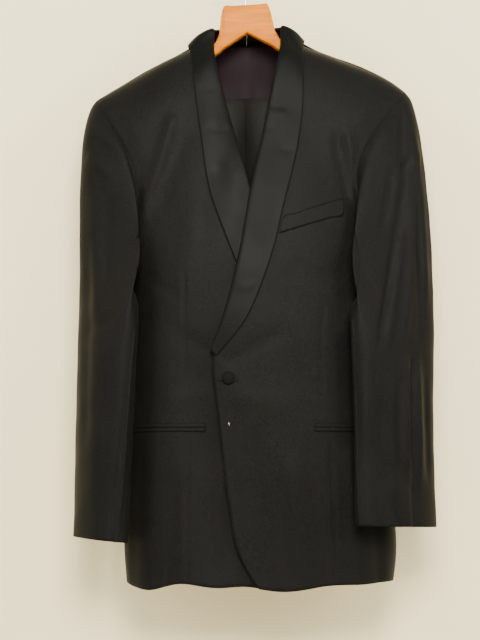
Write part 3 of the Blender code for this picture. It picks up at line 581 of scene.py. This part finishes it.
liningFolds = [
    {"path": ((-9.7, -90), (-9.7, -200), (-9, -420), (-8, -880)), "width": 1.6,
     "height": 1.6, "openEnd": True, "openStart": True},
    {"path": ((-13.5, -90), (-13.5, -200), (-13, -420), (-12, -880)), "width": 2.2,
     "height": -1.2, "openEnd": True, "openStart": True},
    {"path": ((21, -90), (21, -200), (21, -420), (22, -880)), "width": 1.6, "height": 1.6,
     "openEnd": True, "openStart": True},
    {"path": ((24.5, -90), (24.5, -200), (24.5, -420), (25, -880)), "width": 2.2,
     "height": -1.2, "openEnd": True, "openStart": True},
    {"path": ((2, -112), (3, -160), (5, -230)), "width": 6, "height": 1.0},
]

# wall is the solid's thickness and thick the cloth's own, in mm; deep scales the folds
sheets = {
    "front_right": {"wall": 2.0, "thick": 1.5, "levels": 3, "deep": 1.5,
                    "folds": rightFrontFolds,
                    "waves": (90, 0.5), "cloth": cloth, "slot": "cloth"},
    "front_left": {"wall": 2.0, "thick": 1.5, "levels": 3, "deep": 1.5,
                   "folds": leftFrontFolds,
                   "waves": (90, 0.5), "cloth": cloth, "slot": "cloth"},
    "back_right": {"wall": 2.0, "thick": 1.5, "levels": 3, "folds": backFolds,
                   "waves": (110, 0.6), "cloth": cloth, "slot": "cloth"},
    "back_left": {"wall": 2.0, "thick": 1.5, "levels": 3, "folds": backFolds,
                  "waves": (110, 0.6), "cloth": cloth, "slot": "cloth"},
    "top_sleeve_right": {"wall": 2.0, "thick": 1.5, "levels": 3, "hem": -850.0, "deep": 1.7,
        "folds": rightSleeveFolds,
                         "waves": (70, 0.5), "cloth": cloth, "slot": "cloth"},
    "under_sleeve_right": {"wall": 2.0, "thick": 1.5, "levels": 3, "hem": -850.0, "deep": 1.7,
        "folds": rightSleeveFolds,
                           "waves": (70, 0.5), "cloth": cloth, "slot": "cloth"},
    "top_sleeve_left": {"wall": 2.0, "thick": 1.5, "levels": 3, "hem": -835.0, "deep": 2.2,
        "folds": leftSleeveFolds,
                        "waves": (60, 0.5), "cloth": cloth, "slot": "cloth"},
    "under_sleeve_left": {"wall": 2.0, "thick": 1.5, "levels": 3, "hem": -835.0, "deep": 2.2,
        "folds": leftSleeveFolds,
                          "waves": (60, 0.5), "cloth": cloth, "slot": "cloth"},
    "shawl_right": {"wall": 1.5, "thick": 1.2, "levels": 3, "folds": shawlFolds,
                    "waves": (60, 0.25), "cloth": satin, "slot": "satin"},
    "shawl_left": {"wall": 1.5, "thick": 1.2, "levels": 3, "folds": shawlFolds,
                   "waves": (60, 0.25), "cloth": satin, "slot": "satin"},
    "lining_back": {"wall": 1.0, "thick": 0.6, "levels": 2, "folds": liningFolds,
                    "waves": (60, 0.5), "cloth": lining, "slot": "lining",
                    "facing": (0, -1, 0), "acrossX": True},
    "cuff_lining_right": {"wall": 1.0, "thick": 0.6, "levels": 2, "deep": 1.7, "sink": 0.8,
                          "folds": rightSleeveFolds, "waves": None, "cloth": cuffLining,
                          "slot": "cuff_lining"},
    "cuff_lining_left": {"wall": 1.0, "thick": 0.6, "levels": 2, "deep": 2.2, "sink": 0.8,
                         "folds": leftSleeveFolds, "waves": None, "cloth": cuffLining,
                         "slot": "cuff_lining"},
    "breast_welt": {"wall": 1.0, "thick": 1.0, "levels": 3, "deep": 1.5,
                    "folds": leftFrontFolds,
                    "waves": None, "cloth": cloth, "slot": "cloth"},
    "jet_upper_right": {"wall": 1.0, "thick": 1.0, "levels": 2, "deep": 1.5,
                        "folds": rightFrontFolds,
                        "waves": None, "cloth": cloth, "slot": "cloth"},
    "jet_lower_right": {"wall": 1.0, "thick": 1.0, "levels": 2, "deep": 1.5,
                        "folds": rightFrontFolds,
                        "waves": None, "cloth": cloth, "slot": "cloth"},
    "jet_upper_left": {"wall": 1.0, "thick": 1.0, "levels": 2, "deep": 1.5,
                       "folds": leftFrontFolds,
                       "waves": None, "cloth": cloth, "slot": "cloth"},
    "jet_lower_left": {"wall": 1.0, "thick": 1.0, "levels": 2, "deep": 1.5,
                       "folds": leftFrontFolds,
                       "waves": None, "cloth": cloth, "slot": "cloth"},
    "trouser_front_left": {"wall": 1.0, "thick": 0.9, "levels": 2, "plain": True,
                           "folds": [],
                           "waves": None, "cloth": trouserCloth, "slot": "trouser_cloth"},
    "trouser_front_right": {"wall": 1.0, "thick": 0.9, "levels": 2, "plain": True,
                            "folds": [],
                            "waves": None, "cloth": trouserCloth, "slot": "trouser_cloth"},
    "trouser_back_left": {"wall": 1.0, "thick": 0.9, "levels": 2, "plain": True,
                          "folds": [],
                          "waves": None, "cloth": trouserCloth, "slot": "trouser_cloth"},
    "trouser_back_right": {"wall": 1.0, "thick": 0.9, "levels": 2, "plain": True,
                           "folds": [],
                           "waves": None, "cloth": trouserCloth, "slot": "trouser_cloth"},
    "waistband_left": {"wall": 1.0, "thick": 0.9, "levels": 2, "plain": True,
                       "folds": [],
                       "waves": None, "cloth": trouserCloth, "slot": "trouser_cloth"},
    "waistband_right": {"wall": 1.0, "thick": 0.9, "levels": 2, "plain": True,
                        "folds": [],
                        "waves": None, "cloth": trouserCloth, "slot": "trouser_cloth"},
}

made = {}
for nodeName, plan in sheets.items():
    bm = outerSheet(nodeName, plan["wall"], plan.get("facing"))
    piece = fitted(nodeName + "_sheet", bm, plan["levels"], plan.get("plain", False))
    mesh = piece.data
    co = readPoints(mesh)
    push = foldHeight(co, pointNormals(mesh), plan["folds"]) * plan.get("deep", 1.0)
    if plan["waves"]:
        push += softWaves(co, 11, *plan["waves"])
        push *= seamEase(mesh, plan.get("hem", -900.0))
    if "sink" in plan:
        push = np.minimum(push, 0) - plan["sink"]
    pushOut(piece, push)
    wrapUv(piece, plan.get("acrossX"))
    thicken(piece, plan["thick"])
    mesh.materials.clear()
    mesh.materials.append(plan["cloth"])
    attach(piece, "root")
    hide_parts(nodeName)
    made[nodeName] = piece
    if nodeName.endswith("_left"):
        print("sheets made up to", nodeName)

# the edges that are sewn to one another get a narrow allowance tucked under the neighbour
allowance = {"reach": 3.2, "wide": 3.0, "deep": 1.1, "hem": -0.8}
sewn = [n for n in made if n.split("_")[0] in ("front", "back", "top", "under")]


def rimPoints(mesh):
    bm = bmesh.new()
    bm.from_mesh(mesh)
    found = [v.co.copy() for v in bm.verts if v.is_boundary]
    bm.free()
    return found


def tuckSeams(piece, others):
    bm = bmesh.new()
    bm.from_mesh(piece.data)
    bm.normal_update()
    near = {v for v in bm.verts
            if v.is_boundary and others.find(v.co)[2] < allowance["reach"] * mm}
    edges = [e for e in bm.edges if e.is_boundary and e.verts[0] in near and e.verts[1] in near]
    away = {}
    kept = []
    for edge in edges:
        face = edge.link_faces[0]
        side = face.normal.cross(edge.verts[1].co - edge.verts[0].co).normalized()
        if side.dot(face.calc_center_median() - edge.verts[0].co) > 0:
            side = -side
        if side.z < allowance["hem"]:         # a hem's edge stays as it is
            continue
        kept.append(edge)
        for v in edge.verts:
            away.setdefault(v.co.to_tuple(7), [Vector(), v.normal.copy()])[0] += side
    grown = bmesh.ops.extrude_edge_only(bm, edges=kept)["geom"]
    for v in grown:
        if isinstance(v, bmesh.types.BMVert):
            side, up = away[v.co.to_tuple(7)]
            v.co += side.normalized() * allowance["wide"] * mm - up * allowance["deep"] * mm
    for face in bm.faces:
        face.smooth = True
    bm.to_mesh(piece.data)
    bm.free()


rims = {n: rimPoints(made[n].data) for n in sewn}
for nodeName in sewn:
    points = [p for n in sewn if n != nodeName
              and not (n.startswith("front") and nodeName.startswith("front"))
              for p in rims[n]]
    tree = KDTree(len(points))
    for i, p in enumerate(points):
        tree.insert(p, i)
    tree.balance()
    tuckSeams(made[nodeName], tree)
print("seams tucked")


def smoothCopy(nodeName, name, material, sharp=50, levels=0):
    bm = mergedCopy(nodeName)
    pairTriangles(bm)
    mesh = bpy.data.meshes.new(name)
    if levels:
        crease = bm.edges.layers.float.new("crease_edge")
        for edge in bm.edges:
            if len(edge.link_faces) == 2 and edge.calc_face_angle() > math.radians(sharp):
                edge[crease] = 0.7
    for edge in bm.edges:
        if len(edge.link_faces) == 2 and edge.calc_face_angle() > math.radians(sharp):
            edge.smooth = False
    for face in bm.faces:
        face.smooth = True
    bm.to_mesh(mesh)
    bm.free()
    mesh.materials.clear()
    mesh.materials.append(material)
    piece = addObject(name, mesh)
    if levels:
        smooth = piece.modifiers.new("smooth", "SUBSURF")
        smooth.levels = smooth.render_levels = levels
    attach(piece, "root")
    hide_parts(nodeName)
    return piece


buttonSatin = clothMaterial("buttonSatin", dict(satinLook, rough=0.55, specular=0.02))
for nodeName in ("front_button", "cuff_button_left", "cuff_button_right"):
    piece = smoothCopy(nodeName, nodeName + "_covered", buttonSatin, 75, 2)
    wrapUv(piece, True)
smoothCopy("hanger_body", "hanger_body_wood", wood, 40)
smoothCopy("hanger_bar", "hanger_bar_wood", wood, 40)
smoothCopy("hanger_hook", "hanger_hook_wire", steel, 40)
print("hard pieces made")

# the worked buttonhole under the button and the knot of pale thread below it
trim = {
    "holeFrom": -37.0, "holeTo": -6.5, "holeZ": -640.3, "holeHigh": 1.5,
    "stitchStep": 0.8, "stitchLong": 1.5, "stitchRadius": 0.28,
    "knotAt": (-20.0, -700.9), "knotSize": 1.0, "tail": 3.0,
}
frontTree = BVHTree.FromPolygons([v.co.copy() for v in made["front_left"].data.vertices],
                                 [tuple(f.vertices) for f in made["front_left"].data.polygons])


def onCloth(x, z):
    # the place on the left front seen at x, z in mm
    return frontTree.ray_cast(Vector((x * mm, -1.0, z * mm)), Vector((0, 1, 0)))[0]


def addThread(bm, start, end, radius):
    turn = (end - start).to_track_quat("Z", "Y").to_matrix().to_4x4()
    bmesh.ops.create_cone(bm, cap_ends=True, segments=6, radius1=radius, radius2=radius,
                          depth=(end - start).length,
                          matrix=Matrix.Translation((start + end) / 2) @ turn)


def addTrim(name, bm, material):
    mesh = bpy.data.meshes.new(name)
    for face in bm.faces:
        face.smooth = True
    bm.to_mesh(mesh)
    bm.free()
    mesh.materials.append(material)
    piece = addObject(name, mesh)
    wrapUv(piece, True)
    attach(piece, "root")
    return piece


threadLook = dict(satinLook, dark=(0.0035, 0.0034, 0.0029), light=(0.0060, 0.0058, 0.0050))
darkThread = clothMaterial("buttonholeTwist", threadLook)
paleThread = clothMaterial("paleThread", dict(satinLook, dark=(0.42, 0.41, 0.37),
                                              light=(0.62, 0.61, 0.57)))
bm = bmesh.new()
steps = int((trim["holeTo"] - trim["holeFrom"]) / trim["stitchStep"])
for i in range(steps + 1):
    x = trim["holeFrom"] + i * trim["stitchStep"]
    for side in (1, -1):
        near = onCloth(x, trim["holeZ"] + side * 0.25)
        far = onCloth(x, trim["holeZ"] + side * trim["stitchLong"])
        addThread(bm, near, far, trim["stitchRadius"] * mm)
addTrim("buttonhole_stitches", bm, darkThread)
knotX, knotZ = trim["knotAt"]
knot = onCloth(knotX, knotZ)
bm = bmesh.new()
bmesh.ops.create_icosphere(bm, subdivisions=2, radius=trim["knotSize"] * mm)
bmesh.ops.scale(bm, verts=bm.verts, vec=(1.0, 0.6, 0.8))
bmesh.ops.translate(bm, verts=bm.verts, vec=knot)
addThread(bm, knot, onCloth(knotX + 0.8, knotZ - trim["tail"]), 0.2 * mm)
addThread(bm, knot, onCloth(knotX - 1.1, knotZ + 0.6 * trim["tail"]), 0.2 * mm)
addTrim("pale_knot", bm, paleThread)
print("buttonhole and thread made")
room = {
    "wallY": 0.10, "floorZ": -1.35,
    "wall": (0.96, 0.84, 0.51), "floor": (0.72, 0.68, 0.62),
}


def plainMaterial(name, colour, oneSided):
    made, tree, shader = newMaterial(name)
    link = tree.links.new
    place = node(tree, "ShaderNodeTexCoord")
    cloud = node(tree, "ShaderNodeTexNoise", Scale=3.0, Detail=4.0)
    link(place.outputs["Object"], cloud.inputs["Vector"])
    low = tuple(c * 0.97 for c in colour)
    tone = ramp(tree, cloud.outputs["Fac"], ((0.3, low), (0.7, colour)))
    link(tone.outputs["Color"], shader.inputs["Base Color"])
    shader.inputs["Roughness"].default_value = 0.9
    shader.inputs["Specular IOR Level"].default_value = 0.1
    if oneSided:
        side = node(tree, "ShaderNodeNewGeometry")
        clear = node(tree, "ShaderNodeBsdfTransparent")
        mix = node(tree, "ShaderNodeMixShader")
        link(side.outputs["Backfacing"], mix.inputs["Fac"])
        link(shader.outputs["BSDF"], mix.inputs[1])
        link(clear.outputs["BSDF"], mix.inputs[2])
        link(mix.outputs["Shader"], tree.nodes["Material Output"].inputs["Surface"])
    return made


def plane(name, corners, material):
    bm = bmesh.new()
    bm.faces.new([bm.verts.new(c) for c in corners])
    mesh = bpy.data.meshes.new(name)
    bm.to_mesh(mesh)
    bm.free()
    mesh.materials.append(material)
    piece = addObject(name, mesh)
    return piece


floorZ, wallY = room["floorZ"], room["wallY"]
plane("backdrop", ((-4, wallY, floorZ), (4, wallY, floorZ), (4, wallY, 2.5), (-4, wallY, 2.5)),
      plainMaterial("wallPaint", room["wall"], True))
plane("floor", ((-4, -5, floorZ), (4, -5, floorZ), (4, 5, floorZ), (-4, 5, floorZ)),
      plainMaterial("floorPaint", room["floor"], False))

lights = {
    "key": {"at": (0.10, -2.4, 0.55), "to": (0.0, 0.0, -0.40), "size": 1.0, "power": 136.0,
            "colour": (1.0, 0.97, 0.90)},
    "fillLeft": {"at": (-2.2, -1.8, 0.6), "to": (0.0, 0.0, -0.5), "size": 2.0, "power": 58.0,
                 "colour": (1.0, 0.98, 0.94)},
    "fillRight": {"at": (2.2, -1.7, 0.4), "to": (0.1, 0.0, -0.5), "size": 1.6, "power": 58.0,
                  "colour": (1.0, 0.98, 0.94)},
    "rear": {"at": (0.4, 2.6, 0.6), "to": (0.0, 0.0, -0.5), "size": 2.0, "power": 150.0,
             "colour": (1.0, 1.0, 1.0)},
}
for name, plan in lights.items():
    lamp = bpy.data.lights.new(name, "AREA")
    lamp.size = plan["size"]
    lamp.energy = plan["power"]
    lamp.color = plan["colour"]
    holder = addObject(name, lamp)
    holder.location = plan["at"]
    aim = Vector(plan["to"]) - Vector(plan["at"])
    holder.rotation_euler = aim.to_track_quat("-Z", "Y").to_euler()

world = bpy.data.worlds.new("studio")
world.use_nodes = True
world.node_tree.nodes["Background"].inputs["Color"].default_value = (0.84, 0.95, 1.10, 1.0)
world.node_tree.nodes["Background"].inputs["Strength"].default_value = 0.42
bpy.context.scene.world = world

view = {"at": (-0.00435, -2.5, -0.790), "to": (-0.00435, -0.060, -0.550), "lens": 95.112,
        "sensor": 36.0}
lens = bpy.data.cameras.new("camera")
lens.lens = view["lens"]
lens.sensor_fit = "VERTICAL"
lens.sensor_height = view["sensor"]
lens.clip_start = 0.05
lens.dof.use_dof = False
camera = addObject("camera", lens)
camera.location = view["at"]
aim = Vector(view["to"]) - Vector(view["at"])
camera.rotation_euler = aim.to_track_quat("-Z", "Y").to_euler()
bpy.context.scene.camera = camera
print("room, light and camera set")
